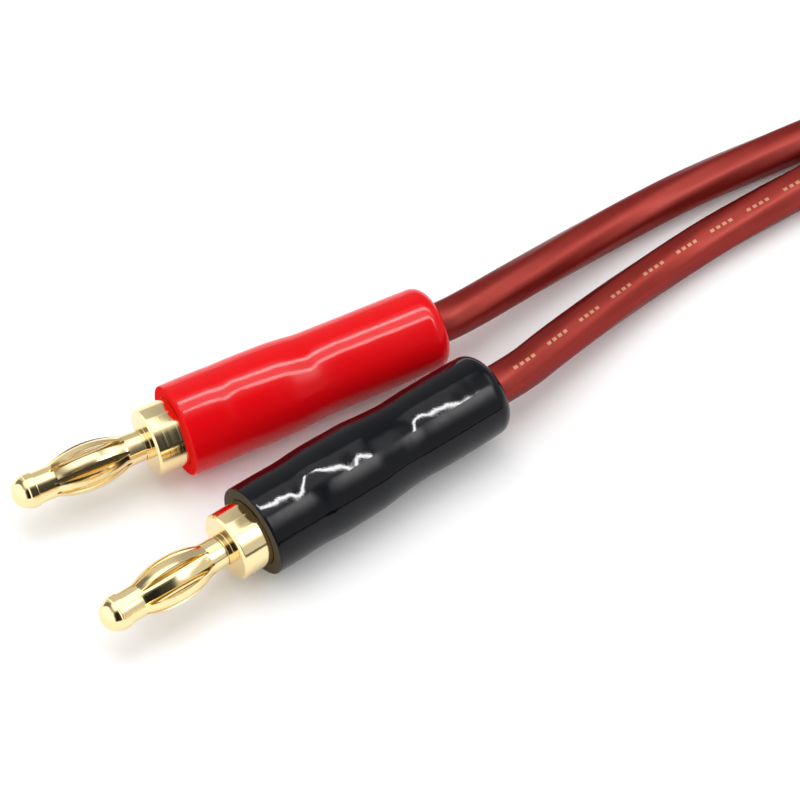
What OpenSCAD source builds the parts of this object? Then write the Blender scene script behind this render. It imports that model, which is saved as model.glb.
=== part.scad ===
// Adapter lead: two spring banana plugs on a split twin cable that ends in a phono plug.
// Lengths in millimetres. Z is up, the plugs lie along X with their noses towards -X, on a floor at z = 0.

/* [Banana contact] */
// Diameter of the nose rim, for a 4 mm socket
nose_d = 3.95; // [3.8:0.05:4]
// Length of the rounded nose in front of the rim
nose_dome_len = 1.6; // [1.3:0.05:1.8]
// Bevel where the dome meets the rim
nose_bevel = 0.12; // [0.05:0.01:0.2]
// Length of the nose rim
nose_rim_len = 1; // [0.8:0.1:2]
// Length of the neck between the cage and the collar
neck_len = 0.6; // [0.4:0.05:1.5]
// Diameter of the collar and of the barrel behind it
collar_d = 7.7; // [6.8:0.1:8.4]
// Length of collar left bare in front of the sleeve
collar_bare = 3.5; // [2:0.1:5]
// Chamfer at the collar's front edge
collar_chamfer = 0.25; // [0.1:0.05:0.5]
// Length of the barrel inside the sleeve
barrel_len = 13; // [12:0.5:15]
// Diameter of the wire bore in the barrel
wire_bore_d = 3.2; // [2.8:0.1:3.6]
// Depth of the wire bore
wire_bore_depth = 11; // [9:0.5:12]

/* [Spring cage] */
// Outer diameter of the two plain rings
cage_ring_d = 3.6; // [3.5:0.05:3.75]
// Outer diameter over the crowns of the leaves
cage_bulge_d = 5.3; // [4.6:0.05:5.6]
// Thickness of the rolled sheet
cage_sheet = 0.2; // [0.15:0.01:0.25]
// Number of leaves
cage_leaves = 8; // [6:1:10]
// Length of the front ring
cage_front_ring = 2.2; // [1.5:0.1:3]
// Length of the slots between the leaves
cage_slot_len = 8.3; // [7:0.1:10]
// Length of the rear ring
cage_rear_ring = 2.1; // [1.5:0.1:3]
// Width of a slot at its rounded ends
cage_slot_w = 0.32; // [0.25:0.01:0.4]
// Width of the seam where the rolled sheet meets itself
cage_seam = 0.08; // [0.05:0.01:0.15]
// Radial play between the rings and the core they sit on
cage_play = 0.03; // [0.01:0.01:0.06]
// Angle by which the black plug's cage is turned on its core
black_cage_turn = 17; // [0:1:44]

/* [Clamp screw] */
// Diameter of the clamp screw
screw_d = 3; // [2.5:0.1:3.5]
// Distance of the screw from the rear end of the barrel
screw_from_rear = 5; // [3:0.5:7]
// Depth of the screw's head below the barrel's surface
screw_recess = 0.35; // [0.3:0.05:0.6]
// Width of the driver slot
screw_slot_w = 0.5; // [0.4:0.05:0.8]
// Depth of the driver slot
screw_slot_depth = 0.6; // [0.4:0.05:0.9]
// Radial play between the screw and its hole
screw_play = 0.05; // [0.02:0.01:0.1]

/* [Sleeve] */
// Length of the sleeve
sleeve_len = 32; // [30:0.5:38]
// Wall of the sleeve at its front edge
sleeve_wall = 1.35; // [1:0.05:1.6]
// Swell of the sleeve over the clamp screw
sleeve_swell = 0.08; // [0:0.02:0.3]
// Radius lost behind the barrel, where the sleeve shrank on to the cable
sleeve_shrink = 0.4; // [0.2:0.05:0.8]
// Radius of the rounded rear shoulder
sleeve_shoulder = 1.7; // [1:0.1:2]
// Thickness of the rear end wall
sleeve_end_wall = 2.4; // [2:0.1:4]
// Radius of the front edge
sleeve_edge = 0.2; // [0.1:0.05:0.4]
// Radial play between the sleeve and the barrel
sleeve_play = 0.04; // [0.02:0.01:0.1]

/* [Cable] */
// Diameter of one insulated core
core_d = 4.75; // [4:0.05:5]
// Web between the two cores of the twin cable
core_web = 0.05; // [0.05:0.05:0.3]
// Radial play between a core and the hole it passes through
core_play = 0.06; // [0.04:0.01:0.2]
// Radial play between the bare strands and the wire bore
strand_play = 0.05; // [0.02:0.01:0.1]
// Gap left between the ends of the strands and the bottom of the bore
strand_end_gap = 0.5; // [0.2:0.1:1]
// Number of bundles that the strands are laid in
strand_bundles = 6; // [5:1:8]

/* [Phono plug] */
// Diameter of the centre pin
pin_d = 3.2; // [3.1:0.05:3.3]
// Length of the centre pin in front of the insulator
pin_len = 14.5; // [13:0.5:16]
// Diameter of the pin's shank in the insulator
shank_d = 2.4; // [2:0.1:2.8]
// Diameter of the solder cup behind the insulator
cup_d = 3; // [2.7:0.1:3.2]
// Length of the solder cup
cup_len = 5; // [4:0.5:6]
// Bore of the solder cup
cup_bore_d = 1.9; // [1.7:0.1:2.1]
// Inner diameter of the slotted ground crown
crown_bore_d = 8.3; // [8.1:0.1:8.5]
// Wall of the ground crown
crown_wall = 0.7; // [0.5:0.05:0.9]
// Length of the ground crown
crown_len = 6.5; // [5.5:0.5:8]
// Width of the slots in the crown
crown_slot_w = 0.7; // [0.5:0.1:1]
// Number of slots in the crown
crown_slots = 4; // [3:1:6]
// Diameter of the flange behind the crown
flange_d = 12; // [11.6:0.1:12.6]
// Thickness of the flange
flange_t = 1.6; // [1.2:0.1:2.4]
// Diameter of the barrel that the shell screws on to
seat_d = 10.4; // [10:0.1:10.8]
// Length of that barrel
seat_len = 7; // [5:0.5:8]
// Diameter of the insulator
insulator_d = 7; // [6.4:0.1:7.4]
// Length of the insulator
insulator_len = 9.5; // [9:0.5:10]
// Length of the ground tail
tail_len = 8; // [6.5:0.5:8.5]
// Thickness of the ground tail
tail_t = 0.8; // [0.6:0.1:1]
// Diameter of the shell
shell_d = 13; // [12.8:0.1:14]
// Length of the shell
shell_len = 27; // [26:0.5:30]
// Number of grip grooves round the shell
grip_grooves = 5; // [3:1:8]
// Distance between grip grooves
grip_pitch = 1.2; // [0.8:0.1:1.6]
// Depth of a grip groove
grip_depth = 0.25; // [0.1:0.05:0.4]
// Distance of the first grip groove from the shell's front
grip_from = 3; // [2:0.5:8]
// Chamfer at the shell's ends
shell_chamfer = 0.5; // [0.2:0.1:0.8]
// Radial play of the inner pieces in their bores
phono_play = 0.05; // [0.03:0.01:0.1]

/* [Boot] */
// Length of the boot behind the shell
boot_len = 16; // [12:1:20]
// Length of the boot's spigot inside the shell
boot_spigot = 3; // [2:0.5:4]
// Diameter of the boot at the shell
boot_front_d = 12.4; // [12:0.1:12.8]
// Diameter of the boot at the cable
boot_rear_d = 11.6; // [11.4:0.1:12]
// Length of cable jacket that reaches into the shell past the boot
boot_jacket_run = 4; // [2:0.5:5]
// Number of flex grooves round the boot
boot_grooves = 4; // [2:1:5]
// Depth of a flex groove
boot_groove_depth = 0.4; // [0.2:0.05:0.5]

/* [Lying] */
// Angle that each plug splays from the centre line
splay = 4.65; // [3:0.05:6]
// Distance of each plug's middle from the centre line
half_spacing = 7.55; // [7:0.05:10]

/* [Hidden] */
$fn = 96;

// Which side of the centre line each plug lies on
red_side = 1;
black_side = -1;
// Spare length of a cutter beyond the face that it opens
cut = 1;
// Colours
gold = [0.86, 0.69, 0.36];
steel = [0.72, 0.72, 0.74];
copper = [0.80, 0.47, 0.30];
red_pvc = [0.86, 0.08, 0.09];
black_pvc = [0.13, 0.13, 0.15];
jacket = [0.50, 0.16, 0.13];
ptfe = [0.93, 0.93, 0.91];

// Radii of the banana plug
nose_r = nose_d / 2;
collar_r = collar_d / 2;
ring_r = cage_ring_d / 2;
bulge_r = cage_bulge_d / 2;
core_pin_r = ring_r - cage_sheet - cage_play;
wire_r = wire_bore_d / 2;
strand_r = wire_r - strand_play;
core_r = core_d / 2;
dome_base_r = nose_r - nose_bevel;
dome_r = (pow(dome_base_r, 2) + pow(nose_dome_len, 2)) / (2 * nose_dome_len);

// Stations along a banana plug, measured from the tip of its nose
rim_at = nose_dome_len;
cage_at = rim_at + nose_rim_len;
cage_len = cage_front_ring + cage_slot_len + cage_rear_ring;
neck_at = cage_at + cage_len;
collar_at = neck_at + neck_len;
sleeve_at = collar_at + collar_bare;
barrel_end = sleeve_at + barrel_len;
plug_end = sleeve_at + sleeve_len;

// Outline of the sleeve, as radius against the share t of its length
sleeve_front_r = collar_r + sleeve_play + sleeve_wall;
sleeve_rear_r = sleeve_front_r - sleeve_shrink;
sleeve_hole_r = core_r + core_play;
shrink_from = 0.38;
shrink_to = 0.58;
swell_at = 0.26;
swell_half = 0.14;
sleeve_steps = 28;
arc_steps = 6;
axis_z = sleeve_front_r + sleeve_swell;

function clamp01(v) = max(0, min(1, v));
function ease(v) = (1 - cos(180 * clamp01(v))) / 2;
function hump(v) = (1 + cos(180 * min(1, abs(v)))) / 2;
function sleeve_r(t) = sleeve_front_r
    - sleeve_shrink * ease((t - shrink_from) / (shrink_to - shrink_from))
    + sleeve_swell * hump((t - swell_at) / swell_half);

// The middle of a plug is set so that the pair's box is centred on the origin
plug_mid = (plug_end - sleeve_shoulder + dome_r
    + ((sleeve_rear_r - sleeve_shoulder) * sin(splay) + sleeve_shoulder - dome_r) / cos(splay)) / 2;

// Stations along the phono plug, measured from the tip of its pin
insulator_at = pin_len;
crown_at = insulator_at - crown_len;
seat_at = insulator_at + flange_t;
seat_end = seat_at + seat_len;
cup_at = insulator_at + insulator_len;
cup_end = cup_at + cup_len;
shell_end = seat_at + shell_len;
boot_end = shell_end + boot_len;
spigot_at = shell_end - boot_spigot;
jacket_end = spigot_at - boot_jacket_run;
phono_r = shell_d / 2;
shell_bore_r = seat_d / 2 + phono_play;
crown_r = crown_bore_d / 2;
insulator_bore_r = insulator_d / 2 + phono_play;
tail_r = insulator_bore_r + tail_t;
pin_r = pin_d / 2;

// Where the rear end of the phono plug's boot lies
phono_x = 28;
phono_y = -91;

// Half the distance between the centres of the twin cable's cores
lobe = (core_d + core_web) / 2;
// Half height of the twin cable at the groove between its cores
groove_h = 0.3 * core_r;
cord_sides = 10;
strand_sides = 8;

function plug_point(side, s) = [
    (s - plug_mid) * cos(splay), side * (half_spacing - (s - plug_mid) * sin(splay)), axis_z
];
function phono_point(s, across) = [phono_x + s - boot_end, phono_y + across, phono_r];

// Routes of the cords. The stretch inside a plug follows that plug's axis
exit_run = 1;
leg_stations = [barrel_end, (barrel_end + plug_end) / 2, plug_end, plug_end + exit_run];
function leg_start(side) = [for (s = leg_stations) plug_point(side, s)];
red_route = [
    [30.6, 5.7, 4.92], [34, 6.15, 4.55], [40, 7, 3.85], [48, 8.1, 3], [57, 8.8, 2.4], [67, 8.65, 2.4],
    [75, 8.1, 2.4], [81, 7.65, 2.4], [85, 7.4, 2.4], [88, 7.4, 2.4]
];
black_route = [
    [30.6, -4.75, 4.92], [34, -3.85, 4.55], [40, -2.35, 3.85], [48, -0.5, 3], [57, 1, 2.4], [67, 1.75, 2.4],
    [75, 2.1, 2.4], [81, 2.4, 2.4], [85, 2.6, 2.4], [88, 2.6, 2.4]
];
twin_route = [
    [88, 5, 2.4], [95, 5, 2.4], [107, 3.5, 2.4], [119, -1.5, 2.4], [129, -9, 2.4], [136.5, -19, 2.4],
    [141.5, -30.5, 2.4], [143, -43, 2.4], [141.5, -55.5, 2.4], [136.5, -67, 2.4], [129, -77, 2.4],
    [119, -84.5, 2.4], [107, -89.5, 2.4], [95, -91, 2.4], [84, -91, 2.4], [72, -91, 2.4], [61, -91, 2.8],
    [51, -91, 4], [42, -91, 5.4], [35, -91, 6.3]
];
twin_end = [for (s = [boot_end + exit_run, boot_end, shell_end, jacket_end]) phono_point(s, 0)];
// The conductors leave the twin cable's end and close in on the solder cup and the ground tail
strand_bend = 1.5;
signal_r = cup_bore_d / 2 - strand_play;
signal_route = [
    phono_point(jacket_end, lobe), phono_point(jacket_end - strand_bend, lobe),
    phono_point(cup_end + strand_bend, 0), phono_point(cup_at + cup_len / 2, 0)
];
ground_across = -(insulator_bore_r - signal_r - strand_play);
ground_route = [
    phono_point(jacket_end, -lobe), phono_point(jacket_end - strand_bend, -lobe),
    phono_point(seat_end + tail_len, ground_across), phono_point(cup_at + strand_bend, ground_across)
];

// A tube of any outline swept along a route, with the outline's first axis level
function unit(v) = v / norm(v);
function way(route, i) = unit(route[min(i + 1, len(route) - 1)] - route[max(i - 1, 0)]);
function frame_side(t) = unit(cross([0, 0, 1], t));
function tube_ring(route, i, outline) = let (t = way(route, i), a = frame_side(t), b = cross(t, a))
    [for (p = outline) route[i] + p[0] * a + p[1] * b];
function round_outline(r, sides) = [
    for (k = [0:sides - 1])
        let (a = 360 * k / sides) r * [cos(a), sin(a)]
];
function lobe_outline(r) = concat(
    [for (a = [-120:60:120]) [lobe + r * cos(a), r * sin(a)]],
    [[0, groove_h]],
    [for (a = [60:60:300]) [-lobe + r * cos(a), r * sin(a)]],
    [[0, -groove_h]]
);
lobe_caps = [[11, 0, 1, 2, 3, 4, 5], [5, 6, 7, 8, 9, 10, 11]];

// caps lists the convex faces that close an end, as places in the outline
module tube(route, outline, caps) {
    n = len(outline);
    last = len(route) - 1;
    rings = [for (i = [0:last]) each tube_ring(route, i, outline)];
    sides = [
        for (i = [0:last - 1], k = [0:n - 1])
            [i * n + k, (i + 1) * n + k, (i + 1) * n + (k + 1) % n, i * n + (k + 1) % n]
    ];
    near = caps;
    far = [for (cap = caps) [for (k = [len(cap) - 1:-1:0]) last * n + cap[k]]];
    polyhedron(points = rings, faces = concat(near, far, sides), convexity = 6);
}

module round_tube(route, r, sides) {
    tube(route, round_outline(r, sides), [[for (k = [0:sides - 1]) k]]);
}

// Lays a banana plug, drawn upright with its nose at z = 0, in its place on the floor
module lay_plug(side) {
    translate([0, side * half_spacing, axis_z])
        rotate([0, 0, -side * splay])
            translate([-plug_mid, 0, 0])
                rotate([0, 90, 0])
                    children();
}

// Lays the phono plug, drawn upright with its pin's tip at z = 0, in its place on the floor
module lay_phono() {
    translate([phono_x - boot_end, phono_y, phono_r])
        rotate([0, 90, 0])
            children();
}

// Half outline of the turned contact, from the nose to the rear end of the barrel
module contact_outline() {
    intersection() {
        translate([0, dome_r]) circle(dome_r);
        square([dome_base_r, nose_dome_len]);
    }
    polygon([
        [0, rim_at], [dome_base_r, rim_at], [nose_r, rim_at + nose_bevel], [nose_r, cage_at],
        [core_pin_r, cage_at], [core_pin_r, neck_at], [ring_r, neck_at], [ring_r, collar_at],
        [collar_r - collar_chamfer, collar_at], [collar_r, collar_at + collar_chamfer],
        [collar_r, barrel_end], [0, barrel_end]
    ]);
}

// One turned piece: nose, core, neck, collar and a barrel with a wire bore and a cross hole
module contact() {
    color(gold)
        difference() {
            rotate_extrude() contact_outline();
            translate([0, 0, barrel_end - wire_bore_depth]) cylinder(r = wire_r, h = wire_bore_depth + cut);
            at_screw() cylinder(d = screw_d, h = collar_r + cut);
        }
}

// Sets a child, drawn along z from the plug's axis, at the cross hole on the upper side
module at_screw() {
    translate([0, 0, barrel_end - screw_from_rear]) rotate([0, -90, 0]) children();
}

// Region between the axis and a leaf's curve: a plain tube with one bow folded up from both rings
module leaf_region(ring, crown) {
    half = cage_slot_len / 2;
    rise = crown - ring;
    bow_r = (half * half + rise * rise) / (2 * rise);
    square([ring, cage_len]);
    intersection() {
        translate([crown - bow_r, cage_front_ring + half]) circle(bow_r, $fn = 360);
        translate([0, cage_front_ring / 2])
            square([crown + cut, cage_len - (cage_front_ring + cage_rear_ring) / 2]);
    }
}

// One slot: two planes that leave the leaves beside it one width all along, and round ends in the rings
module slot_cutter() {
    half_pitch = 180 / cage_leaves;
    leaf_w = 2 * ring_r * sin(half_pitch) - cage_slot_w;
    apex = leaf_w / 2 / sin(half_pitch);
    reach = bulge_r + cut;
    slot_from = cage_front_ring - cage_slot_w / 2;
    slot_to = slot_from + cage_slot_len + cage_slot_w;
    translate([0, 0, slot_from])
        linear_extrude(slot_to - slot_from)
            polygon([
                [apex, 0], [apex + reach, reach * tan(half_pitch)], [apex + reach, -reach * tan(half_pitch)]
            ]);
    for (z = [slot_from, slot_to])
        translate([0, 0, z]) rotate([0, 90, 0]) cylinder(d = cage_slot_w, h = reach, $fn = 32);
}

// Rolled sheet cage: two plain rings, bulged leaves between slots, and a seam along one slot
module spring_cage(turn) {
    color(gold)
        translate([0, 0, cage_at])
            rotate([0, 0, turn])
                difference() {
                    rotate_extrude()
                        difference() {
                            leaf_region(ring_r, bulge_r);
                            leaf_region(ring_r - cage_sheet, bulge_r - cage_sheet);
                        }
                    for (k = [0:cage_leaves - 1])
                        rotate([0, 0, 360 * k / cage_leaves]) slot_cutter();
                    translate([0, -cage_seam / 2, -cut]) cube([bulge_r + cut, cage_seam, cage_len + 2 * cut]);
                }
}

// Slotted grub screw, its flat end on the strands
module clamp_screw() {
    head_r = collar_r - screw_recess;
    tip_r = strand_r;
    color(steel)
        at_screw()
            difference() {
                translate([0, 0, tip_r]) cylinder(d = screw_d - 2 * screw_play, h = head_r - tip_r);
                translate([-screw_d, -screw_slot_w / 2, head_r - screw_slot_depth])
                    cube([2 * screw_d, screw_slot_w, screw_slot_depth + cut]);
            }
}

// Bare strands in the barrel: bundles laid round a core, pressed into each other
module conductor() {
    bundle_r = strand_r * sin(180 / strand_bundles) / (1 + sin(180 / strand_bundles)) + strand_play;
    color(copper)
        translate([0, 0, barrel_end - wire_bore_depth + strand_end_gap])
            linear_extrude(wire_bore_depth - strand_end_gap) {
                circle(strand_r - bundle_r);
                for (k = [0:strand_bundles - 1])
                    rotate(360 * k / strand_bundles)
                        translate([strand_r - bundle_r, 0])
                            circle(bundle_r, $fn = 32);
            }
}

// Half outline of the hollow sleeve: waisted outside, stepped inside, round at the rear shoulder
module sleeve_outline() {
    bore_r = collar_r + sleeve_play;
    inner_r = max(sleeve_rear_r - sleeve_wall, sleeve_hole_r);
    shoulder_t = 1 - sleeve_shoulder / sleeve_len;
    edge_t = sleeve_edge / sleeve_len;
    front = [
        for (k = [0:arc_steps])
            let (a = 90 * k / arc_steps)
                [sleeve_front_r - sleeve_edge * (1 - sin(a)), sleeve_edge * (1 - cos(a))]
    ];
    wall = [
        for (k = [1:sleeve_steps - 1])
            let (t = edge_t + (shoulder_t - edge_t) * k / sleeve_steps) [sleeve_r(t), t * sleeve_len]
    ];
    shoulder = [
        for (k = [0:arc_steps])
            let (a = 90 * k / arc_steps)
                [
                    sleeve_rear_r - sleeve_shoulder * (1 - cos(a)),
                    sleeve_len - sleeve_shoulder * (1 - sin(a))
                ]
    ];
    inside = [
        [sleeve_hole_r, sleeve_len], [sleeve_hole_r, sleeve_len - sleeve_end_wall],
        [inner_r, sleeve_len - 2 * sleeve_end_wall], [inner_r, barrel_len + 2 * sleeve_wall],
        [bore_r, barrel_len + sleeve_play], [bore_r, 0]
    ];
    polygon(concat(front, wall, shoulder, inside));
}

// Soft sleeve round the barrel
module sleeve(tint) {
    color(tint)
        translate([0, 0, sleeve_at]) rotate_extrude() sleeve_outline();
}

// Centre pin of the phono plug, with a shank through the insulator and a solder cup
module phono_pin() {
    color(gold)
        lay_phono()
            difference() {
                rotate_extrude() {
                    intersection() {
                        translate([0, pin_r]) circle(pin_r);
                        square([pin_r, pin_r]);
                    }
                    polygon([
                        [0, pin_r], [pin_r, pin_r], [pin_r, insulator_at], [shank_d / 2, insulator_at],
                        [shank_d / 2, cup_at], [cup_d / 2, cup_at], [cup_d / 2, cup_end], [0, cup_end]
                    ]);
                }
                translate([0, 0, cup_at + cup_len / 4]) cylinder(d = cup_bore_d, h = cup_len);
                translate([0, -cup_d, cup_at + cup_len / 2]) cube([cup_d, 2 * cup_d, cup_len]);
            }
}

// Insulating bush that holds the pin in the body
module phono_insulator() {
    color(ptfe)
        lay_phono()
            translate([0, 0, insulator_at])
                difference() {
                    cylinder(d = insulator_d, h = insulator_len);
                    translate([0, 0, -cut])
                        cylinder(r = shank_d / 2 + phono_play, h = insulator_len + 2 * cut);
                }
}

// Body of the phono plug: slotted ground crown, flange, barrel for the shell and a ground tail
module phono_body() {
    color(gold)
        lay_phono() {
            difference() {
                rotate_extrude()
                    polygon([
                        [crown_r, crown_at], [crown_r + crown_wall, crown_at],
                        [crown_r + crown_wall, insulator_at], [flange_d / 2, insulator_at],
                        [flange_d / 2, seat_at], [seat_d / 2, seat_at], [seat_d / 2, seat_end],
                        [insulator_bore_r, seat_end], [insulator_bore_r, insulator_at],
                        [crown_r, insulator_at]
                    ]);
                for (k = [0:crown_slots - 1])
                    rotate([0, 0, 360 * (k + 0.5) / crown_slots])
                        translate([0, -crown_slot_w / 2, crown_at - cut])
                            cube([flange_d, crown_slot_w, crown_len - crown_wall + cut]);
            }
            intersection() {
                translate([0, 0, seat_end])
                    difference() {
                        cylinder(r = tail_r, h = tail_len);
                        translate([0, 0, -cut]) cylinder(r = insulator_bore_r, h = tail_len + 2 * cut);
                    }
                translate([-tail_r / 2, -2 * tail_r, seat_end]) cube([tail_r, 2 * tail_r, tail_len]);
            }
        }
}

// Turned shell that closes over the solder joints, with a grip band near its front
module phono_shell() {
    color(gold)
        lay_phono()
            difference() {
                rotate_extrude()
                    polygon([
                        [shell_bore_r, seat_at], [phono_r - shell_chamfer, seat_at],
                        [phono_r, seat_at + shell_chamfer], [phono_r, shell_end - shell_chamfer],
                        [phono_r - shell_chamfer, shell_end], [shell_bore_r, shell_end]
                    ]);
                for (k = [0:grip_grooves - 1])
                    translate([0, 0, seat_at + grip_from + k * grip_pitch])
                        difference() {
                            cylinder(r = phono_r + cut, h = grip_pitch / 2);
                            cylinder(r = phono_r - grip_depth, h = grip_pitch / 2);
                        }
            }
}

// Soft boot: a spigot in the shell, a grooved taper behind it and a hole for the twin cable
module phono_boot() {
    groove_pitch = boot_len / (boot_grooves + 1);
    groove_w = groove_pitch / 3;
    hole_r = core_r + core_play;
    color(black_pvc)
        lay_phono()
            difference() {
                rotate_extrude()
                    polygon([
                        [0, spigot_at], [shell_bore_r - phono_play, spigot_at],
                        [shell_bore_r - phono_play, shell_end], [boot_front_d / 2, shell_end],
                        [boot_rear_d / 2, boot_end], [0, boot_end]
                    ]);
                for (k = [1:boot_grooves])
                    translate([0, 0, shell_end + k * groove_pitch - groove_w / 2])
                        difference() {
                            cylinder(d = boot_front_d + cut, h = groove_w);
                            cylinder(
                                r = boot_front_d / 2 - boot_groove_depth
                                    - (boot_front_d - boot_rear_d) / 2 * k / (boot_grooves + 1),
                                h = groove_w
                            );
                        }
                translate([0, 0, spigot_at - cut])
                    linear_extrude(boot_len + boot_spigot + 2 * cut) {
                        for (y = [-lobe, lobe])
                            translate([0, y]) circle(hole_r);
                        square([hole_r, 2 * lobe], center = true);
                    }
            }
}

module leg(side, route) {
    color(jacket) round_tube(concat(leg_start(side), route), core_r, cord_sides);
}

module red_contact() { lay_plug(red_side) contact(); }
module red_spring_cage() { lay_plug(red_side) spring_cage(0); }
module red_clamp_screw() { lay_plug(red_side) clamp_screw(); }
module red_conductor() { lay_plug(red_side) conductor(); }
module red_sleeve() { lay_plug(red_side) sleeve(red_pvc); }
module red_leg() { leg(red_side, red_route); }

module black_contact() { lay_plug(black_side) contact(); }
module black_spring_cage() { lay_plug(black_side) spring_cage(black_cage_turn); }
module black_clamp_screw() { lay_plug(black_side) clamp_screw(); }
module black_conductor() { lay_plug(black_side) conductor(); }
module black_sleeve() { lay_plug(black_side) sleeve(black_pvc); }
module black_leg() { leg(black_side, black_route); }

module twin_cable() { color(jacket) tube(concat(twin_route, twin_end), lobe_outline(core_r), lobe_caps); }
module signal_conductor() { color(copper) round_tube(signal_route, signal_r, strand_sides); }
module ground_conductor() { color(copper) round_tube(ground_route, signal_r, strand_sides); }

red_contact();
red_spring_cage();
red_clamp_screw();
red_conductor();
red_sleeve();
red_leg();
black_contact();
black_spring_cage();
black_clamp_screw();
black_conductor();
black_sleeve();
black_leg();
twin_cable();
phono_pin();
phono_insulator();
phono_body();
phono_shell();
phono_boot();
signal_conductor();
ground_conductor();
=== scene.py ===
import math

import bmesh
import bpy
from mathutils import Matrix, Vector, noise


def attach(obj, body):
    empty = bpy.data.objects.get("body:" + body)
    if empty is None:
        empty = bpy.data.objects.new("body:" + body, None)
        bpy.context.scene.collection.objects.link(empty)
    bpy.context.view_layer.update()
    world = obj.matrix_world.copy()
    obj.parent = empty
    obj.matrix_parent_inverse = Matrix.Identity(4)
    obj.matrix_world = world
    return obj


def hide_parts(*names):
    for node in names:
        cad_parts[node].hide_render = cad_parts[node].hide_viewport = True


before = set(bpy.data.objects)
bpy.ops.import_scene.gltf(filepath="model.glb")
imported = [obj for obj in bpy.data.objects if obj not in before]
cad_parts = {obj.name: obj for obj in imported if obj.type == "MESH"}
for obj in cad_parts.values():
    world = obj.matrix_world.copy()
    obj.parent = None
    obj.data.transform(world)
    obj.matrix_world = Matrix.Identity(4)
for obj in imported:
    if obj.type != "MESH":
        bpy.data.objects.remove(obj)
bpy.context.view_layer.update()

# The camera stands 0.4 m off on the nose side and looks down on the two plugs.
# A long lens keeps the perspective slight; there is no shift, no roll and no blur.
CAMERA_AT = Vector((-0.11581, -0.20797, 0.31270))
LOOK_AT = Vector((0.01870, 0.00211, 0.0))
LENS_MM, SENSOR_MM, CLIP_FROM = 162.07, 36.0, 0.01

scene = bpy.context.scene
scene.view_settings.view_transform = "Standard"
lens = bpy.data.cameras.new("camera")
lens.lens, lens.sensor_width, lens.clip_start = LENS_MM, SENSOR_MM, CLIP_FROM
camera = bpy.data.objects.new("camera", lens)
camera.location = CAMERA_AT
camera.rotation_euler = (LOOK_AT - CAMERA_AT).to_track_quat("-Z", "Y").to_euler()
scene.collection.objects.link(camera)
scene.camera = camera

# The two cable legs are the split cores of a twin lead: bunched copper strands in a clear
# red-brown PVC jacket. Each starts at the rear face of its plug's barrel, leaves through the
# hole in the sleeve's end and sinks to the table on the way to the twin cable.
MM = 0.001
SIDES = {"red": 1, "black": -1}
SPLAY = math.radians(4.65)
PLUG_MID, HALF_SPACING, AXIS_Z = 25.7774, 7.55, 5.32
BARREL_END, PLUG_END, EXIT_RUN = 32.3, 51.3, 1.0
CORE_R, LIE_Z = 2.375, 2.4
LEG_ROUTES = {
    "red": [
        (30.6, 5.7, 4.92), (34, 6.15, 4.55), (40, 7, 3.85), (48, 8.1, 3), (57, 8.8, 2.4),
        (67, 8.65, 2.4), (75, 8.1, 2.4), (81, 7.65, 2.4), (85, 7.4, 2.4), (88, 7.4, 2.4),
    ],
    "black": [
        (30.6, -4.75, 4.92), (34, -3.85, 4.55), (40, -2.35, 3.85), (48, -0.5, 3), (57, 1, 2.4),
        (67, 1.75, 2.4), (75, 2.1, 2.4), (81, 2.4, 2.4), (85, 2.6, 2.4), (88, 2.6, 2.4),
    ],
}
LEG_LENGTH, LEG_STEP, LEG_TURN = 0.0825, 0.5, 56
STRAND_BUNDLES, STRAND_LAY, RIPPLE = 7, 24.0, 0.08
STRAND_DARK, STRAND_PALE = (0.86, 0.74, 0.66, 1), (0.98, 0.88, 0.78, 1)
JACKET_TINT, TICK_GOLD = (0.42, 0.078, 0.07, 1), (0.55, 0.27, 0.15, 1)
CLOUD_GRAIN, PIT_GRAIN, PIT_SHARE, JACKET_RELIEF = 260.0, 2600.0, 0.3, 0.00001
TICK_ANGLE, TICK_HALF_WIDTH, TICK_EASE = math.radians(17), 0.085, 0.02
TICK_PITCH, TICK_SHARE, GROUP_PITCH, GROUP_SHARE = 0.9, 0.6, 5.4, 0.6
CREASE = 35.0


def plug_point(side, station):
    """A point on a plug's axis, station mm behind the tip of its nose, in metres."""
    run = station - PLUG_MID
    return Vector((
        run * math.cos(SPLAY),
        side * (HALF_SPACING - run * math.sin(SPLAY)),
        AXIS_Z,
    )) * MM


def smooth_line(points, step):
    """Points about step apart on one smooth curve through the given ones, none sunk in the table."""
    gaps = [(b - a).length for a, b in zip(points, points[1:])]
    runs = [(b - a) / gap for a, b, gap in zip(points, points[1:], gaps)]
    slopes = [runs[0]]
    for before, after, gap, next_gap in zip(runs, runs[1:], gaps, gaps[1:]):
        slopes.append((before * next_gap + after * gap) / (gap + next_gap))
    slopes.append(runs[-1])
    line = []
    for i, gap in enumerate(gaps):
        count = max(1, round(gap / step))
        for k in range(count):
            t = k / count
            start, end = (1 + 2 * t) * (1 - t) ** 2, t * t * (3 - 2 * t)
            line.append(
                points[i] * start + points[i + 1] * end
                + slopes[i] * (gap * t * (1 - t) ** 2)
                - slopes[i + 1] * (gap * t * t * (1 - t))
            )
    line.append(points[-1])
    return [Vector((p.x, p.y, max(p.z, LIE_Z * MM))) for p in line]


def keep_values(mesh, values):
    """Keeps one number per corner of a mesh under each name."""
    for key, numbers in values.items():
        mesh.attributes.new(key, "FLOAT", "POINT").data.foreach_set("value", numbers)


def show(name, mesh, crease):
    """An object of a mesh, smooth shaded but for edges of more degrees than the crease."""
    mesh.shade_smooth()
    mesh.set_sharp_from_angle(angle=math.radians(crease))
    piece = bpy.data.objects.new(name, mesh)
    scene.collection.objects.link(piece)
    return piece


def new_piece(name, corners, faces, crease=CREASE, **values):
    """An object of these corners and faces, with one number per corner for each value."""
    mesh = bpy.data.meshes.new(name)
    mesh.from_pydata(corners, [], faces)
    keep_values(mesh, values)
    mesh.validate()
    return show(name, mesh, crease)


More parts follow.
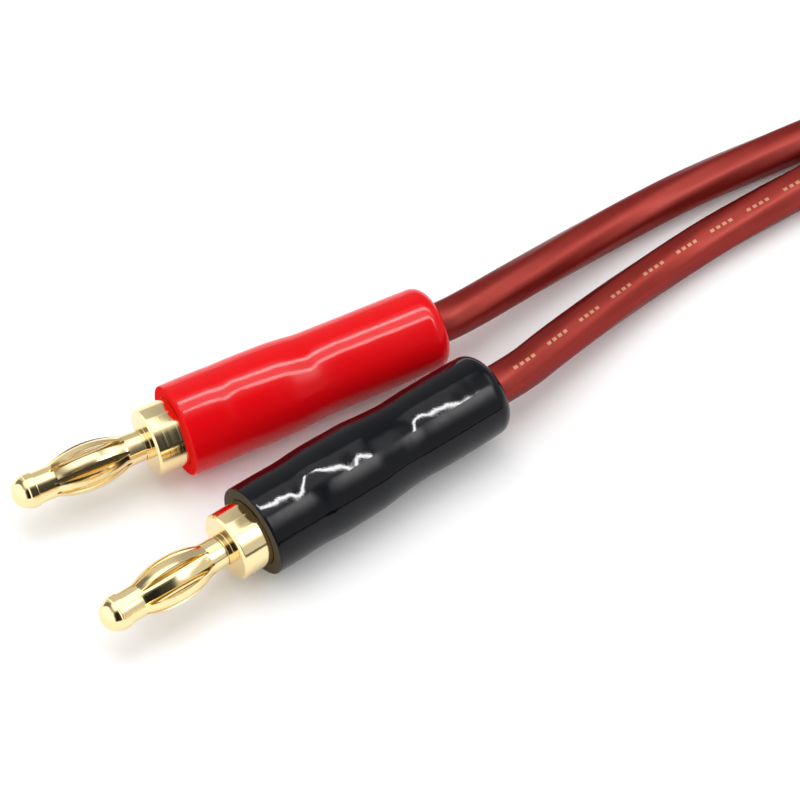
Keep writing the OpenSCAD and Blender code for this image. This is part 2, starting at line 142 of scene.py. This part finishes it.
def sweep(name, line, outline, along_from=0.0):
    """A closed tube: the outline's (across, up, around, marked) points carried along the line."""
    corners, along, around, marked = [], [], [], []
    travelled, count = along_from, len(outline)
    for i, point in enumerate(line):
        if i:
            travelled += (point - line[i - 1]).length / MM
        way = (line[min(i + 1, len(line) - 1)] - line[max(i - 1, 0)]).normalized()
        across = Vector((0, 0, 1)).cross(way).normalized()
        up = way.cross(across)
        for a, b, angle, mark in outline:
            wave = math.sin(angle * STRAND_BUNDLES + travelled * math.tau / STRAND_LAY)
            sink = RIPPLE * (1 - wave) / 2
            a, b = a + sink * math.sin(angle), b - sink * math.cos(angle)
            corners.append(point + (across * a + up * b) * MM)
            along.append(travelled)
            around.append(angle)
            marked.append(mark)
    faces = []
    for i in range(len(line) - 1):
        for k in range(count):
            a, b = i * count + k, i * count + (k + 1) % count
            faces.append((a, b, b + count, a + count))
    faces.append(tuple(reversed(range(count))))
    faces.append(tuple(range(len(corners) - count, len(corners))))
    return new_piece(name, corners, faces, along=along, around=around, marked=marked)


class Tone:
    """One value in a finish's node tree; arithmetic on it adds Math nodes."""

    def __init__(self, finish, socket):
        self.finish, self.socket = finish, socket

    def math(self, operation, first, second=0.0):
        return self.finish.node("ShaderNodeMath", {"operation": operation}, {0: first, 1: second})

    def __add__(self, other):
        return self.math("ADD", self, other)

    def __radd__(self, other):
        return self.math("ADD", other, self)

    def __sub__(self, other):
        return self.math("SUBTRACT", self, other)

    def __rsub__(self, other):
        return self.math("SUBTRACT", other, self)

    def __mul__(self, other):
        return self.math("MULTIPLY", self, other)

    def __rmul__(self, other):
        return self.math("MULTIPLY", other, self)

    def __truediv__(self, other):
        return self.math("DIVIDE", self, other)

    def __rtruediv__(self, other):
        return self.math("DIVIDE", other, self)

    def __abs__(self):
        return self.math("ABSOLUTE", self)

    def sine(self):
        return self.math("SINE", self)

    def fraction(self):
        return self.math("FRACT", self)

    def rise(self, low, high):
        """0 on low's side, 1 on high's side, and smooth between them."""
        return self.finish.node(
            "ShaderNodeMapRange", {"interpolation_type": "SMOOTHSTEP"}, {0: self, 1: low, 2: high}
        )


class Finish:
    """A node tree and the nodes that are put in it."""

    def __init__(self, tree):
        self.tree = tree

    def feed(self, node, inputs):
        for key, value in inputs.items():
            if isinstance(value, Tone):
                self.tree.links.new(value.socket, node.inputs[key])
            else:
                node.inputs[key].default_value = value

    def node(self, kind, settings=None, inputs=None, output=0):
        made = self.tree.nodes.new(kind)
        for key, value in (settings or {}).items():
            setattr(made, key, value)
        self.feed(made, inputs or {})
        return Tone(self, made.outputs[output])

    def value(self, name):
        """A number kept on the corners of the mesh."""
        return self.node("ShaderNodeAttribute", {"attribute_name": name}, output="Fac")

    def grain(self, scale, detail=2.0, stretch=(1.0, 1.0, 1.0)):
        """Noise fixed to the piece, scale grains to the metre."""
        place = self.node("ShaderNodeTexCoord", output="Object")
        place = self.node("ShaderNodeVectorMath", {"operation": "MULTIPLY"}, {0: place, 1: stretch})
        return self.node("ShaderNodeTexNoise", None, {"Vector": place, "Scale": scale, "Detail": detail})

    def blend(self, amount, first, second):
        """The first colour where amount is 0 and the second where it is 1."""
        return self.node(
            "ShaderNodeMix", {"data_type": "RGBA"}, {0: amount, 6: first, 7: second}, output=2
        )

    def relief(self, height, depth):
        """A normal that follows the height, depth metres from 0 to 1."""
        return self.node("ShaderNodeBump", None, {"Distance": depth, "Height": height})


class Material(Finish):
    """A material of one Principled shader."""

    def __init__(self, name, inputs):
        self.material = bpy.data.materials.new(name)
        self.material.use_nodes = True
        super().__init__(self.material.node_tree)
        self.shader = self.tree.nodes["Principled BSDF"]
        self.put(inputs)

    def put(self, inputs):
        self.feed(self.shader, inputs)

    def on(self, *pieces):
        for piece in pieces:
            piece.data.materials.clear()
            piece.data.materials.append(self.material)


jacket = Material("jacket_pvc", {
    "Metallic": 0.66, "Coat Roughness": 0.22, "Coat IOR": 1.15, "Coat Tint": JACKET_TINT,
})
along, around = jacket.value("along"), jacket.value("around")
strands = (around * STRAND_BUNDLES + along * (math.tau / STRAND_LAY)).sine()
cloud = jacket.grain(CLOUD_GRAIN, 3.0)
pits = jacket.grain(PIT_GRAIN)
copper_glow = jacket.blend((strands * 0.12 + cloud * 0.9).rise(0.2, 0.75), STRAND_DARK, STRAND_PALE)
group = (along / GROUP_PITCH).fraction().rise(GROUP_SHARE, GROUP_SHARE - TICK_EASE)
tick = (along / TICK_PITCH).fraction().rise(TICK_SHARE, TICK_SHARE - TICK_EASE)
stripe = abs(around - TICK_ANGLE).rise(TICK_HALF_WIDTH, TICK_HALF_WIDTH - TICK_EASE)
gold_ticks = group * tick * stripe * jacket.value("marked")
jacket.put({
    "Base Color": jacket.blend(gold_ticks, copper_glow, TICK_GOLD),
    "Coat Weight": 1 - gold_ticks,
    "Roughness": 0.36 + cloud * 0.10,
    "Normal": jacket.relief(cloud + pits * PIT_SHARE, JACKET_RELIEF),
})

leg_outline = []
for k in range(LEG_TURN):
    angle = math.tau * k / LEG_TURN - math.pi
    leg_outline.append((-CORE_R * math.sin(angle), CORE_R * math.cos(angle), angle))

for core, side in SIDES.items():
    stations = (BARREL_END, (BARREL_END + PLUG_END) / 2, PLUG_END, PLUG_END + EXIT_RUN)
    route = [plug_point(side, s) for s in stations] + [Vector(p) * MM for p in LEG_ROUTES[core]]
    line = smooth_line(route, LEG_STEP * MM)
    mark = 1.0 if core == "black" else 0.0
    leg = sweep(f"{core}_leg_jacket", line, [(a, b, angle, mark) for a, b, angle in leg_outline])
    jacket.on(leg)
    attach(leg, "root")
    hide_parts(f"{core}_leg")

# The twin cable is the same two cores side by side, joined by the web they were drawn with.
# It bends back on the table in one wide turn and ends in the boot of the phono plug.
TWIN_ROUTE = [
    (88, 5, 2.4), (95, 5, 2.4), (107, 3.5, 2.4), (119, -1.5, 2.4), (129, -9, 2.4),
    (136.5, -19, 2.4), (141.5, -30.5, 2.4), (143, -43, 2.4), (141.5, -55.5, 2.4),
    (136.5, -67, 2.4), (129, -77, 2.4), (119, -84.5, 2.4), (107, -89.5, 2.4), (95, -91, 2.4),
    (84, -91, 2.4), (72, -91, 2.4), (61, -91, 2.8), (51, -91, 4), (42, -91, 5.4), (35, -91, 6.3),
    (29, -91, 6.5), (28, -91, 6.5), (12, -91, 6.5), (5, -91, 6.5),
]
TWIN_LENGTH, TWIN_STEP, LOBE_TURN = 0.248, 1.0, 44
LOBE, GROOVE_H = 2.4, 0.3 * CORE_R

web = math.asin(GROOVE_H / CORE_R)
twin_outline = []
for centre, start, mark in ((LOBE, -1.5 * math.pi, 0.0), (-LOBE, -0.5 * math.pi, 1.0)):
    for k in range(LOBE_TURN + 1):
        angle = start + web + (math.tau - 2 * web) * k / LOBE_TURN
        twin_outline.append(
            (centre - CORE_R * math.sin(angle), CORE_R * math.cos(angle), angle, mark)
        )
twin_line = smooth_line([Vector(p) * MM for p in TWIN_ROUTE], TWIN_STEP * MM)
twin = sweep("twin_cable_jacket", twin_line, twin_outline, along_from=LEG_LENGTH / MM)
jacket.on(twin)
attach(twin, "root")
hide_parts("twin_cable")

# The set is a seamless white floor under a soft lamp of its own, in a pale room that the bright
# metal mirrors: a canopy overhead, a window past the noses with a dark frame beside it, a panel
# and a light rear wall towards the cable, and a dark doorway in the front wall.
FLOOR_HALF, FLOOR_WHITE, FLOOR_GLOW = 4.0, (0.90, 0.90, 0.90, 1), 0.085
FLOOR_LAMP = ((-0.30, 0.24, 0.60), (0.36, 0.24, 0.60), 0.50, 1.15)
ROOM_WALL, CORNER_SHADE, FRAME_SHADE, DOORWAY_SHADE = 0.70, 0.26, 0.72, 0.94
CANOPY_LIGHT, REAR_LIGHT, WINDOW_LIGHT, PANEL_LIGHT = 1.2, 1.4, 0.75, 6.0


def hang_lamp(name, start, end, width, radiance):
    """A flat lamp of even radiance between two points, turned to face the part."""
    middle, length = (Vector(start) + Vector(end)) / 2, (Vector(end) - Vector(start)).length
    run = (Vector(end) - Vector(start)).normalized()
    across = middle.cross(run).normalized()
    light = bpy.data.lights.new(name, "AREA")
    light.shape = "RECTANGLE"
    light.size, light.size_y = length, width
    light.energy = radiance * math.pi * length * width
    lamp = bpy.data.objects.new(name, light)
    turn = Matrix((run, across, run.cross(across))).transposed().to_4x4()
    lamp.matrix_world = Matrix.Translation(middle) @ turn
    lamp.visible_camera = False
    scene.collection.objects.link(lamp)
    return lamp


def light_only(lamp, piece):
    """Keeps a lamp's light to one piece."""
    lit = bpy.data.collections.new(f"{lamp.name}_lights")
    lit.objects.link(piece)
    lamp.light_linking.receiver_collection = lit


floor = new_piece("floor", [
    (x * FLOOR_HALF, y * FLOOR_HALF, 0) for x, y in ((-1, -1), (1, -1), (1, 1), (-1, 1))
], [(0, 1, 2, 3)])
sheet = Material("white_sheet", {
    "Base Color": FLOOR_WHITE, "Roughness": 0.9, "Specular IOR Level": 0.0,
    "Emission Strength": FLOOR_GLOW,
})
ray = {kind: sheet.node("ShaderNodeLightPath", output=f"Is {kind} Ray")
       for kind in ("Camera", "Glossy", "Transmission")}
sheet.put({"Emission Color": (ray["Camera"] + ray["Glossy"] + ray["Transmission"]).rise(0.0, 1.0)})
sheet.on(floor)
light_only(hang_lamp("floor_lamp", *FLOOR_LAMP), floor)

room = bpy.data.worlds.new("room")
room.use_nodes = True
scene.world = room
walls = Finish(room.node_tree)
way = walls.node("ShaderNodeTexCoord", output="Generated")
x, y, z = (walls.node("ShaderNodeSeparateXYZ", None, {0: way}, axis) for axis in "XYZ")
seen = walls.node("ShaderNodeLightPath", output="Is Camera Ray")
canopy = z.rise(0.76, 0.82) * y.rise(-0.36, -0.12) * x.rise(0.42, 0.36) * x.rise(-0.40, -0.06)
rear = x.rise(0.42, 0.62) * z.rise(0.50, 0.72) * y.rise(-0.66, -0.42) * y.rise(0.35, 0.10)
window = x.rise(-0.44, -0.52) * z.rise(0.84, 0.74)
window_frame = x.rise(-0.52, -0.44) * x.rise(-0.06, -0.16) * z.rise(0.98, 0.82)
panel = x.rise(0.28, 0.43) * x.rise(0.60, 0.46) * y.rise(-0.24, -0.40) * y.rise(-0.82, -0.42)
doorway = y.rise(-0.25, -0.55) * x.rise(-0.70, -0.50) * x.rise(0.33, 0.20)
corner = x.rise(0.15, 0.55) * y.rise(0.0, 0.3)
lights = CANOPY_LIGHT * canopy + REAR_LIGHT * rear + WINDOW_LIGHT * window + PANEL_LIGHT * panel
pale = (ROOM_WALL - CORNER_SHADE * corner) * (1 - FRAME_SHADE * window_frame) + lights
walls.feed(room.node_tree.nodes["Background"], {
    "Color": (1, 1, 1, 1), "Strength": seen + (1 - seen) * pale * (1 - DOORWAY_SHADE * doorway),
})

# The contacts are turned from brass bar in one piece and gold plated: a domed nose with a
# crisp rim, a thin core for the spring, a neck, and a thick barrel bored for the wire.
DOME_R, DOME_END, DOME_BASE_R, DOME_ROWS = 1.87532, 1.6, 1.855, 20
NOSE_R, RIM_BEVEL, CAGE_AT, CORE_PIN_R = 1.975, 0.12, 2.6, 1.57
NECK_AT, NECK_R, COLLAR_AT, COLLAR_R, CHAMFER = 15.2, 1.8, 15.8, 3.85, 0.25
WIRE_R, WIRE_FROM = 1.6, 21.3
SCREW_AT, SCREW_HOLE_R, SCREW_HOLE_TURN, DRILL_PAST = 27.3, 1.5, 48, 1.0
CONTACT_TURN, CONTACT_CREASE, TINY = 144, 30.0, 1e-6
GOLD, TARNISH_GRAIN = (0.96, 0.78, 0.43, 1), 420.0
RIDGE_SCALE, RIDGE_DEPTH = 8.5, 0.0000055
TURNED = {"red": 1.0, "black": 0.15}


def eased(outline, steps=3, beside=0.4):
    """The (station, radius, fillet) outline with rounded corners and a point beside each rounding."""
    points = []
    for i, (s, r, fillet) in enumerate(outline):
        here = Vector((s, r))
        if not fillet or i in (0, len(outline) - 1):
            points.append((s, r))
            continue
        before, after = (Vector(outline[j][:2]) for j in (i - 1, i + 1))
        start = here + (before - here).normalized() * min(fillet, (before - here).length / 3)
        end = here + (after - here).normalized() * min(fillet, (after - here).length / 3)
        points.append(tuple(start + (start - here) * beside))
        for k in range(steps + 1):
            t = k / steps
            points.append(tuple(start * (1 - t) ** 2 + here * (2 * t * (1 - t)) + end * t * t))
        points.append(tuple(end + (end - here) * beside))
    return points


def lathe(name, outline, turn, crease, closed=False, shape=None):
    """The outline's (station, radius) points in mm turned about the X axis, angle 0 on top."""
    corners, rings, faces = [], [], []
    for row, (s, r) in enumerate(outline):
        if r < TINY:
            rings.append([len(corners)] * turn)
            corners.append((s * MM, 0.0, 0.0))
            continue
        rings.append(list(range(len(corners), len(corners) + turn)))
        for k in range(turn):
            angle = math.tau * k / turn
            reach = r + shape(row, s, r, angle) if shape else r
            corners.append((s * MM, -reach * math.sin(angle) * MM, reach * math.cos(angle) * MM))
    pairs = list(zip(rings, rings[1:]))
    if closed:
        pairs.append((rings[-1], rings[0]))
    for one, two in pairs:
        for k in range(turn):
            loop = (one[k], one[(k + 1) % turn], two[(k + 1) % turn], two[k])
            faces.append(tuple(dict.fromkeys(loop)))
    return new_piece(name, corners, faces, crease)


def lay_plug(piece, side):
    """Lays a mesh made along X from the tip of the nose in its place."""
    turn = Matrix.Rotation(-side * SPLAY, 4, "Z")
    piece.data.transform(Matrix.Translation(plug_point(side, 0)) @ turn)


def drill(piece, station, radius, turn, depth):
    """Cuts a round hole into a piece from above, down to its axis."""
    angles = [math.tau * k / turn for k in range(turn)]
    rim = [(radius * math.cos(angle), radius * math.sin(angle)) for angle in angles]
    corners = [((station + a) * MM, b * MM, c * MM) for c in (0.0, depth) for a, b in rim]
    faces = [(k, (k + 1) % turn, turn + (k + 1) % turn, turn + k) for k in range(turn)]
    faces += [tuple(reversed(range(turn))), tuple(range(turn, 2 * turn))]
    bit = new_piece("bit", corners, faces)
    cut = piece.modifiers.new("hole", "BOOLEAN")
    cut.object, cut.operation, cut.solver = bit, "DIFFERENCE", "EXACT"
    shaped = piece.evaluated_get(bpy.context.evaluated_depsgraph_get())
    blank, piece.data = piece.data, bpy.data.meshes.new_from_object(shaped)
    piece.modifiers.clear()
    bpy.data.objects.remove(bit)
    bpy.data.meshes.remove(blank)


dome = []
for k in range(DOME_ROWS):
    angle = math.acos(1 - DOME_END / DOME_R) * k / DOME_ROWS
    dome.append((DOME_R * (1 - math.cos(angle)), DOME_R * math.sin(angle)))
contact_outline = dome + eased([
    (DOME_END, DOME_BASE_R, 0.0), (DOME_END + RIM_BEVEL, NOSE_R, 0.04), (CAGE_AT, NOSE_R, 0.04),
    (CAGE_AT, CORE_PIN_R, 0.0), (NECK_AT, CORE_PIN_R, 0.0), (NECK_AT, NECK_R, 0.05),
    (COLLAR_AT, NECK_R, 0.04), (COLLAR_AT, COLLAR_R - CHAMFER, 0.05),
    (COLLAR_AT + CHAMFER, COLLAR_R, 0.05), (BARREL_END, COLLAR_R, 0.08), (BARREL_END, WIRE_R, 0.05),
    (WIRE_FROM, WIRE_R, 0.1), (WIRE_FROM, 0.0, 0.0),
])

plate = Material("gold_plate", {"Base Color": GOLD, "Metallic": 1.0})
station = plate.value("station")
ridges = plate.node(
    "ShaderNodeTexNoise", {"noise_dimensions": "1D"},
    {"W": station, "Scale": RIDGE_SCALE, "Detail": 1.0},
)
on_collar = station.rise(COLLAR_AT - 0.1, COLLAR_AT + 0.2)
tarnish = plate.grain(TARNISH_GRAIN, 3.0)
plate.put({
    "Roughness": 0.09 + 0.06 * tarnish,
    "Normal": plate.relief(ridges * on_collar * plate.value("turned"), RIDGE_DEPTH),
})

for core, side in SIDES.items():
    contact = lathe(f"{core}_contact_body", contact_outline, CONTACT_TURN, CONTACT_CREASE)
    drill(contact, SCREW_AT, SCREW_HOLE_R, SCREW_HOLE_TURN, COLLAR_R + DRILL_PAST)
    places = [corner.co.x / MM for corner in contact.data.vertices]
    keep_values(contact.data, {"station": places, "turned": [TURNED[core]] * len(places)})
    lay_plug(contact, side)
    plate.on(contact)
    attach(contact, "root")
    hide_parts(f"{core}_contact")

# The spring cage is slotted from thin gold plated sheet, rolled into a tube and bulged: two
# plain rings and eight leaves, slipped over the core and held between the rim and the neck.
RING_R, BULGE_R, SHEET, FOLD, TAPER = 1.8, 2.65, 0.2, 0.03, 0.07
SLOT_FROM, SLOT_LEN, SLOT_W, SEAM = 4.8, 8.3, 0.32, 0.08
CAGE_END, CORE_PLAY, LEAVES = 15.14, 0.01, 8
RING_ROWS, SLOT_END_ROWS, LEAF_ROWS, LEAF_COLUMNS = 4, 5, 48, 10
LEAF_CREASE, LEAF_BEVEL, BEVEL_STEPS, WELD = 40.0, 0.065, 3, 1e-8
ROLLED_GRAIN, ROLLED_STRETCH, ROLLED_DEPTH = 900.0, (0.15, 1.0, 1.0), 0.000003
CAGE_TURN = {"red": 0.0, "black": math.radians(17)}
half_pitch = math.pi / LEAVES
half_seam = math.asin(SEAM / 2 / RING_R)
leaf_half = RING_R * math.sin(half_pitch) - SLOT_W / 2


def leaf_r(s):
    """Outer radius of the sheet: one bow, folded up from two rings; the rear ring is drawn in."""
    rise, half = BULGE_R - RING_R, SLOT_LEN / 2
    bow = (half**2 + rise**2) / (2 * rise)
    lift = rise - bow + math.sqrt(bow**2 - (s - SLOT_FROM - half) ** 2)
    rear = max(0.0, s - SLOT_FROM - SLOT_LEN) / (CAGE_END - SLOT_FROM - SLOT_LEN)
    return RING_R - TAPER * rear + (lift + math.sqrt(lift**2 + FOLD**2)) / 2


def leaf_edge(s):
    """Half angle of a leaf at a station, and whether the slot beside it is open there."""
    end = SLOT_W / 2
    into = min(s - (SLOT_FROM - end), SLOT_FROM + SLOT_LEN + end - s)
    if into >= 0:
        return math.asin(leaf_half / leaf_r(s)), True
    if into > -end + TINY:
        return half_pitch - math.asin(math.sqrt(end**2 - into**2) / RING_R), True
    return half_pitch, False


first, last = SLOT_FROM - SLOT_W, SLOT_FROM + SLOT_LEN + SLOT_W
turn_in = [
    SLOT_W / 2 * (1 - math.cos(math.pi / 2 * k / SLOT_END_ROWS)) for k in range(SLOT_END_ROWS + 1)
]
rows = [CAGE_AT + (first - CAGE_AT) * k / RING_ROWS for k in range(RING_ROWS)]
rows += [first + t for t in turn_in]
rows += [SLOT_FROM - SLOT_W / 2 + (SLOT_LEN + SLOT_W) * k / LEAF_ROWS for k in range(1, LEAF_ROWS)]
rows += [last - t for t in reversed(turn_in)]
rows += [last + (CAGE_END - last) * k / RING_ROWS for k in range(1, RING_ROWS + 1)]

spring = Material("spring_gold", {"Base Color": GOLD, "Metallic": 1.0})
rolled = spring.grain(ROLLED_GRAIN, 3.0, ROLLED_STRETCH)
spring.put({"Roughness": 0.10 + 0.08 * rolled, "Normal": spring.relief(rolled, ROLLED_DEPTH)})

for core, side in SIDES.items():
    work = bmesh.new()
    for leaf in range(LEAVES):
        middle = math.pi + CAGE_TURN[core] + math.tau * (leaf + 0.5) / LEAVES
        skin = []
        for s in rows:
            half, _ = leaf_edge(s)
            low = -min(half, half_pitch - half_seam) if leaf == 0 else -half
            high = min(half, half_pitch - half_seam) if leaf == LEAVES - 1 else half
            for r in (leaf_r(s), max(leaf_r(s) - SHEET, CORE_PIN_R + CORE_PLAY)):
                line = []
                for k in range(LEAF_COLUMNS + 1):
                    angle = middle + low + (high - low) * k / LEAF_COLUMNS
                    spot = (s * MM, -r * math.sin(angle) * MM, r * math.cos(angle) * MM)
                    line.append(work.verts.new(spot))
                skin.append(line)
        for i in range(len(rows) - 1):
            outer, inner, outer_next, inner_next = skin[2 * i:2 * i + 4]
            for k in range(LEAF_COLUMNS):
                work.faces.new((outer[k], outer[k + 1], outer_next[k + 1], outer_next[k]))
                work.faces.new((inner[k], inner_next[k], inner_next[k + 1], inner[k + 1]))
            opened = leaf_edge(rows[i])[1] or leaf_edge(rows[i + 1])[1]
            if opened or leaf == 0:
                work.faces.new((outer[0], outer_next[0], inner_next[0], inner[0]))
            if opened or leaf == LEAVES - 1:
                work.faces.new((outer[-1], inner[-1], inner_next[-1], outer_next[-1]))
        for (outer, inner), flip in ((skin[:2], False), (skin[-2:], True)):
            for k in range(LEAF_COLUMNS):
                loop = (outer[k], inner[k], inner[k + 1], outer[k + 1])
                work.faces.new(tuple(reversed(loop)) if flip else loop)
    bmesh.ops.remove_doubles(work, verts=work.verts, dist=WELD)
    mesh = bpy.data.meshes.new(f"{core}_spring_leaves")
    work.to_mesh(mesh)
    work.free()
    cage = show(f"{core}_spring_leaves", mesh, LEAF_CREASE)
    edge = cage.modifiers.new("edge", "BEVEL")
    edge.width, edge.segments = LEAF_BEVEL * MM, BEVEL_STEPS
    edge.angle_limit = math.radians(LEAF_CREASE)
    edge.harden_normals = True
    lay_plug(cage, side)
    spring.on(cage)
    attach(cage, "root")
    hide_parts(f"{core}_spring_cage")

# Inside each barrel a slotted steel grub screw clamps the bare copper strands from above, and
# both are hidden by the sleeve once it is pulled over. The phono end has the same strands.
STEEL, COPPER = (0.52, 0.52, 0.54, 1), (0.78, 0.36, 0.20, 1)
STEEL_GRAIN, WIRE_GRAIN, WIRE_STRETCH, WIRE_DEPTH = 1500.0, 2500.0, (0.1, 1.0, 1.0), 0.00002

steel = Material("screw_steel", {"Base Color": STEEL, "Metallic": 1.0})
steel.put({"Roughness": 0.25 + 0.2 * steel.grain(STEEL_GRAIN, 3.0)})
copper = Material("copper_strand", {"Base Color": COPPER, "Metallic": 1.0})
wires = copper.grain(WIRE_GRAIN, stretch=WIRE_STRETCH)
copper.put({"Roughness": 0.3 + 0.2 * wires, "Normal": copper.relief(wires, WIRE_DEPTH)})
for core in SIDES:
    steel.on(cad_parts[f"{core}_clamp_screw"])
    copper.on(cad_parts[f"{core}_conductor"])
for name in ("signal_conductor", "ground_conductor"):
    copper.on(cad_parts[name])

# The sleeves are soft PVC, dipped on a former and cut square in front. They are stretched over
# the barrel, neck down behind it and close round the cable with a rounded end.
SLEEVE_AT, SLEEVE_LEN, SLEEVE_EDGE, SHOULDER = 19.3, 32.0, 0.2, 1.7
BORE_R, INNER_R, HOLE_R, END_WALL, SIDE_WALL = 3.89, 3.49, 2.435, 2.4, 1.35
BARREL_PLAY, LIP = 0.04, 0.01
SLEEVE_TURN, SLEEVE_ROWS, EDGE_ROWS, SHOULDER_ROWS = 168, 150, 5, 16
SLEEVE_CREASE, CUT_FACING = 50.0, -0.8
SLEEVE_SHAPES = {
    "red": [
        (0.0, 5.25), (0.08, 5.28), (0.145, 5.28), (0.19, 5.24), (0.245, 5.27), (0.325, 5.27),
        (0.40, 5.22), (0.455, 5.09), (0.505, 4.93), (0.56, 4.87), (0.645, 4.85), (0.745, 4.84),
        (0.855, 4.82), (0.95, 4.80), (1.0, 4.79),
    ],
    "black": [
        (0.0, 5.22), (0.055, 5.22), (0.12, 5.20), (0.19, 5.16), (0.255, 5.27), (0.305, 5.30),
        (0.39, 5.25), (0.455, 5.20), (0.515, 5.02), (0.58, 4.83), (0.63, 4.77), (0.695, 4.83),
        (0.79, 4.87), (0.895, 4.85), (0.95, 4.81), (1.0, 4.75),
    ],
}
WRINKLES = {
    "red": ((0.22, 0.012), (0.5, 0.004)),
    "black": ((0.22, 0.008), (0.55, 0.009), (1.1, 0.004)),
}
WRINKLE_SHIFT, WRINKLE_SINK = 30, 0.6
SKIN_COLOURS = {"red": (0.88, 0.004, 0.008, 1), "black": (0.003, 0.0035, 0.006, 1)}
SKIN_GLOSS = {"red": 0.16, "black": 0.22}
SKIN_GRAIN = {"red": 700.0, "black": 6000.0}
SKIN_ROUGHNESS = {"red": (0.08, 0.04), "black": (0.035, 0.03)}
SKIN_DEPTH = {"red": 0.000005, "black": 0.0000022}
# Cut faces: the red one is a slightly darker red than its skin. The black one is painted a warm brown
# far paler than its black skin, a painted glow standing in for the light the gold collar throws on it.
CUT_COLOURS_AND_GLOW = {"red": (0.78, 0.010, 0.010, 1), "black": (0.085, 0.068, 0.045, 1)}
CUT_GLOSS, CUT_GRAIN = {"red": 0.02, "black": 0.05}, 2500.0
GLOSS_LAMPS = {
    "red_strip": ((0.110, 0.230, 0.52), (0.380, -0.010, 0.52), 0.055, 21.0),
    "red_edge": ((0.100, -0.010, 0.52), (0.360, -0.310, 0.52), 0.045, 18.0),
    "red_panel": ((0.055, 0.191, 0.52), (0.419, -0.181, 0.52), 0.260, 2.7),
    "black_strip": ((0.125, 0.165, 0.52), (0.280, -0.225, 0.52), 0.018, 60.0),
}


def flow(knots, t):
    """The value at t on a smooth curve through (place, value) knots."""
    i = max(k for k in range(len(knots) - 1) if knots[k][0] <= t)
    (a, va), (b, vb) = knots[i], knots[i + 1]
    before, after = knots[max(i - 1, 0)], knots[min(i + 2, len(knots) - 1)]
    gap, u = b - a, (t - a) / (b - a)
    start = (vb - before[1]) / (b - before[0]) * gap
    end = (after[1] - va) / (after[0] - a) * gap
    return (
        va * (1 + 2 * u) * (1 - u) ** 2 + vb * u * u * (3 - 2 * u)
        + start * u * (1 - u) ** 2 - end * u * u * (1 - u)
    )


sleeves = {}
for core, side in SIDES.items():
    pvc = Material(f"{core}_pvc", {
        "Base Color": SKIN_COLOURS[core], "Specular IOR Level": SKIN_GLOSS[core],
    })
    pores = pvc.grain(SKIN_GRAIN[core])
    smooth, matt = SKIN_ROUGHNESS[core]
    pvc.put({"Roughness": smooth + matt * pores, "Normal": pvc.relief(pores, SKIN_DEPTH[core])})
    # The cut face's colour holds painted light: on the black sleeve, a painted warm glow from the gold
    # collar beside it.
    cut_face = Material(f"{core}_cut", {
        "Base Color": CUT_COLOURS_AND_GLOW[core], "Specular IOR Level": CUT_GLOSS[core],
    })
    cut_face.put({"Roughness": 0.75 + 0.2 * cut_face.grain(CUT_GRAIN)})

    knots = SLEEVE_SHAPES[core]
    front_r, end = knots[0][1], SLEEVE_AT + SLEEVE_LEN
    outline = []
    for k in range(EDGE_ROWS):
        a = math.pi / 2 * (1 - k / EDGE_ROWS)
        outline.append(
            (SLEEVE_AT + SLEEVE_EDGE * (1 - math.sin(a)), front_r - SLEEVE_EDGE * (1 - math.cos(a)))
        )
    wall_from, wall_to = SLEEVE_EDGE / SLEEVE_LEN, 1 - SHOULDER / SLEEVE_LEN
    for k in range(SLEEVE_ROWS):
        t = wall_from + (wall_to - wall_from) * k / SLEEVE_ROWS
        outline.append((SLEEVE_AT + t * SLEEVE_LEN, flow(knots, t)))
    rear_r = flow(knots, wall_to)
    for k in range(SHOULDER_ROWS + 1):
        a = math.pi / 2 * k / SHOULDER_ROWS
        outline.append((end - SHOULDER * (1 - math.sin(a)), rear_r - SHOULDER * (1 - math.cos(a))))
    outer_rows = len(outline)
    outline += eased([
        (end, rear_r - SHOULDER - LIP, 0.0), (end, HOLE_R, 0.1), (end - END_WALL, HOLE_R, 0.3),
        (end - 2 * END_WALL, INNER_R, 0.8), (BARREL_END + 2 * SIDE_WALL, INNER_R, 0.8),
        (BARREL_END + BARREL_PLAY, BORE_R, 0.3), (SLEEVE_AT, BORE_R, 0.1),
        (SLEEVE_AT, front_r - SLEEVE_EDGE - 2 * LIP, 0.0),
    ])

    def wrinkle(row, s, r, angle):
        if row >= outer_rows:
            return 0.0
        spot = Vector((s + WRINKLE_SHIFT * side, r * math.sin(angle), r * math.cos(angle)))
        return sum(size * (noise.noise(spot * often) - WRINKLE_SINK) for often, size in WRINKLES[core])

    sleeve = lathe(
        f"{core}_sleeve_pvc", outline, SLEEVE_TURN, SLEEVE_CREASE, closed=True, shape=wrinkle
    )
    pvc.on(sleeve)
    sleeve.data.materials.append(cut_face.material)
    for face in sleeve.data.polygons:
        face.material_index = 1 if face.normal.x < CUT_FACING else 0
    lay_plug(sleeve, side)
    sleeves[core] = sleeve
    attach(sleeve, "root")
    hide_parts(f"{core}_sleeve")

for name, spec in GLOSS_LAMPS.items():
    lamp = hang_lamp(name, *spec)
    lamp.visible_diffuse = False
    light_only(lamp, sleeves[name.split("_")[0]])

# The phono plug on the far end: gold plated pin, slotted crown and turned shell, a white
# insulator between them, and a ribbed PVC boot that grips the twin cable.
INSULATOR_WHITE, BOOT_BLACK = (0.82, 0.82, 0.79, 1), (0.014, 0.014, 0.016, 1)
INSULATOR_GRAIN, BOOT_GRAIN = 900.0, 1400.0

plate.on(*(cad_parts[name] for name in ("phono_pin", "phono_body", "phono_shell")))
insulator = Material("insulator", {"Base Color": INSULATOR_WHITE})
insulator.put({"Roughness": 0.4 + 0.1 * insulator.grain(INSULATOR_GRAIN)})
insulator.on(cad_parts["phono_insulator"])
boot = Material("boot_pvc", {"Base Color": BOOT_BLACK})
boot.put({"Roughness": 0.35 + 0.1 * boot.grain(BOOT_GRAIN)})
boot.on(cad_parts["phono_boot"])
